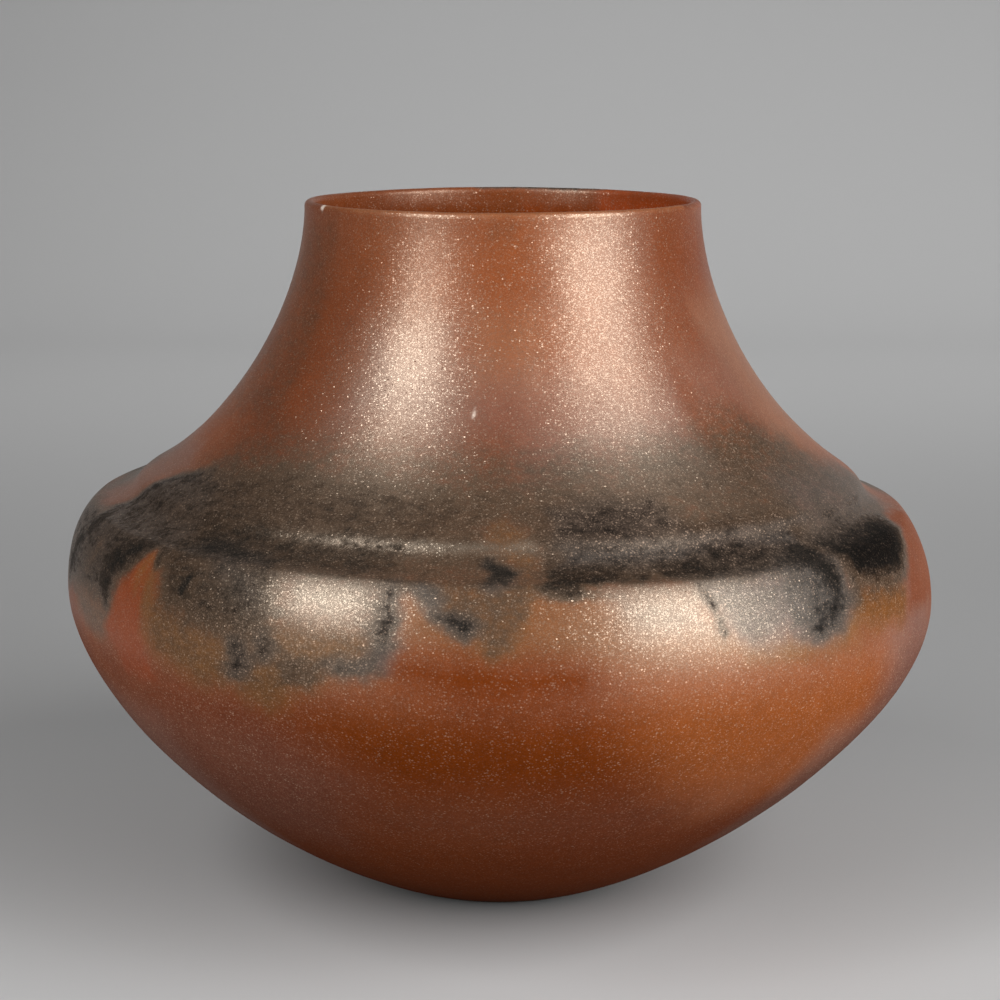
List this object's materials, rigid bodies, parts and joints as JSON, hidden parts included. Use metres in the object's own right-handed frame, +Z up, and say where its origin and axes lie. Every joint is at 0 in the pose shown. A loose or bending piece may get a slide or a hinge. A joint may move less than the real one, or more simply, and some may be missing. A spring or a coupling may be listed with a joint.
{
  "type": "coil-built clay jar",
  "caption": "Wide round hand-built jar of mica-rich clay with a stepped shoulder ridge, flaring neck, open mouth and fire clouds; holds water or dry food.",
  "frame": {"origin": "middle of the flat face under the base that the jar rests on", "axes": "+Z up along the jar's axis, -Y towards the viewer of the picture, +X to their right"},
  "size_m": [0.4, 0.4, 0.318],
  "materials": {
    "clay": "unglazed, burnished to a satin, glittering with mica",
    "smoked_clay": "unglazed, burnished, darkened by smoke in the firing, glittering with mica"
  },
  "bodies": {
    "root": {"base_disc": "clay", "lower_wall_coil_1": "clay", "lower_wall_coil_2": "clay", "lower_wall_coil_3": "clay", "lower_wall_coil_4": "clay", "lower_wall_coil_5": "clay", "lower_wall_coil_6": "clay", "lower_wall_coil_7": "clay", "shoulder_coil_1": "smoked_clay", "shoulder_coil_2": "smoked_clay", "ridge_coil": "smoked_clay", "neck_coil_1": "clay", "neck_coil_2": "clay", "neck_coil_3": "clay", "neck_coil_4": "clay", "neck_coil_5": "clay", "rim_coil": "clay"}
  },
  "joints": []
}
